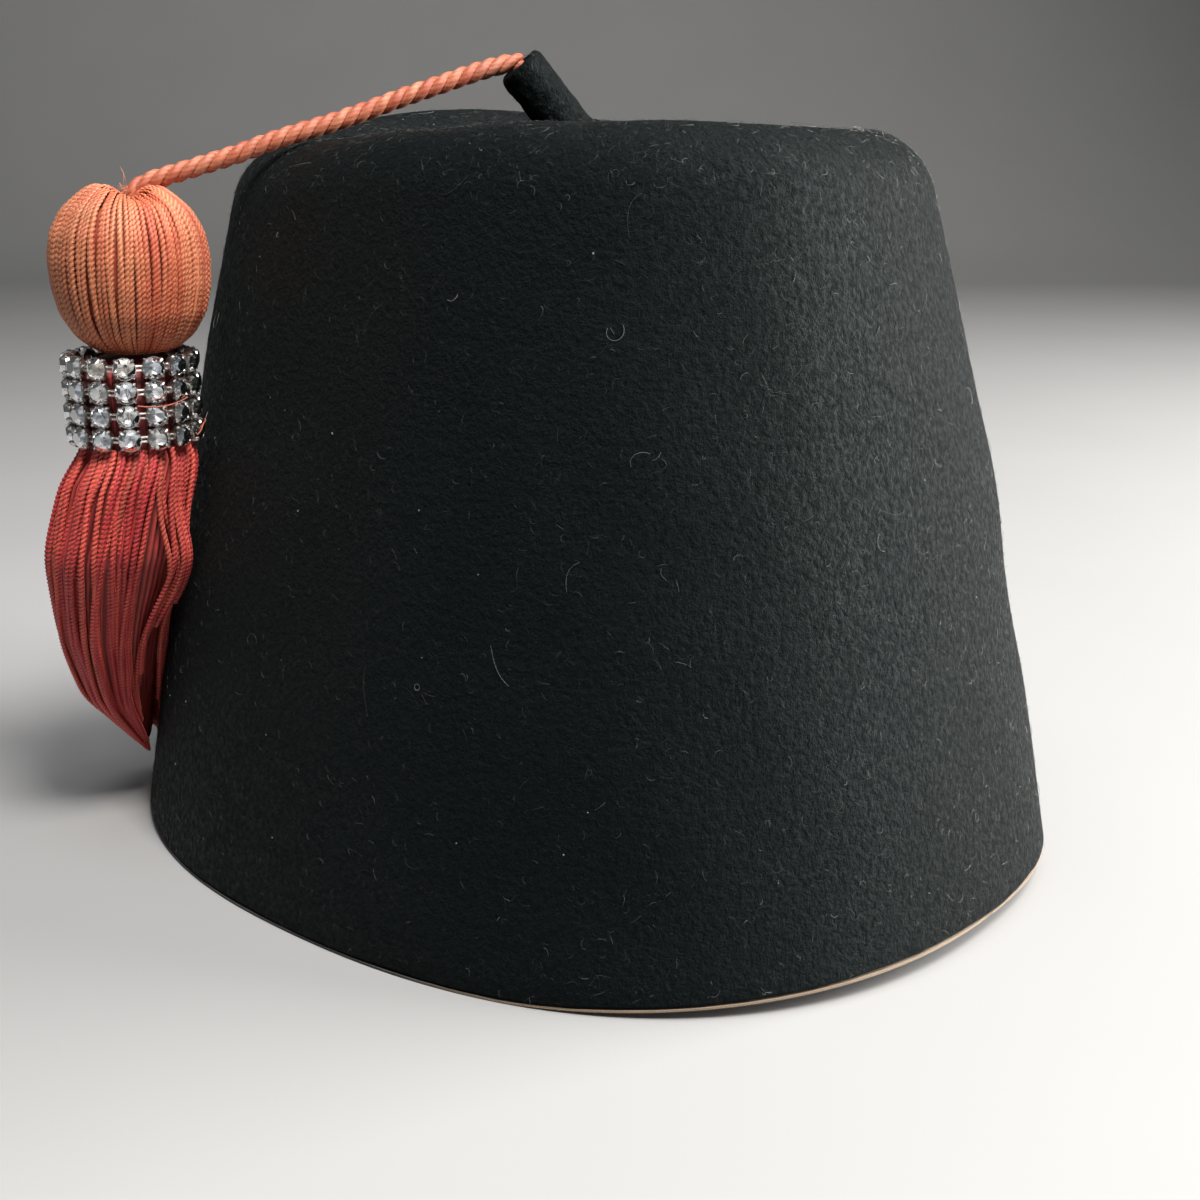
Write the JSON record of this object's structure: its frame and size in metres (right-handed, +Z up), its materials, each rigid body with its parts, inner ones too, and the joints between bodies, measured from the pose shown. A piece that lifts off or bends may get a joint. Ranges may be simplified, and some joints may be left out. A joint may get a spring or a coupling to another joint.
{
  "type": "fez hat with tassel",
  "caption": "Tapered oval felt fez with a felt stem, twisted cord and a tassel gripped by a rhinestone band.",
  "frame": {"origin": "middle of the hat's box, tassel included, on the surface that it rests on; the middle of the rim's oval is 2.5 mm from it towards +Y", "axes": "+Z up; +X along the long axis of the head oval; the tassel hangs towards -X and -Y"},
  "size_m": [0.2, 0.1716, 0.1581],
  "materials": {
    "black_felt": "short-napped wool felt, matt",
    "tan_tape": "ribbed woven tape, matt",
    "stem_felt": "rolled wool felt, matt",
    "coral_cord": "three-ply twisted rayon cord, soft sheen",
    "coral_thread": "two-ply rayon thread, soft sheen",
    "red_thread": "twisted rayon fringe, soft sheen",
    "rhinestones": "foiled clear stones in silver cups"
  },
  "bodies": {
    "root": {"crown": "black_felt", "rim_tape": "tan_tape", "stem": "stem_felt", "cord": "coral_cord", "tassel_head": "coral_thread", "tassel_skirt": "red_thread", "rhinestone_band": "rhinestones"}
  },
  "joints": []
}
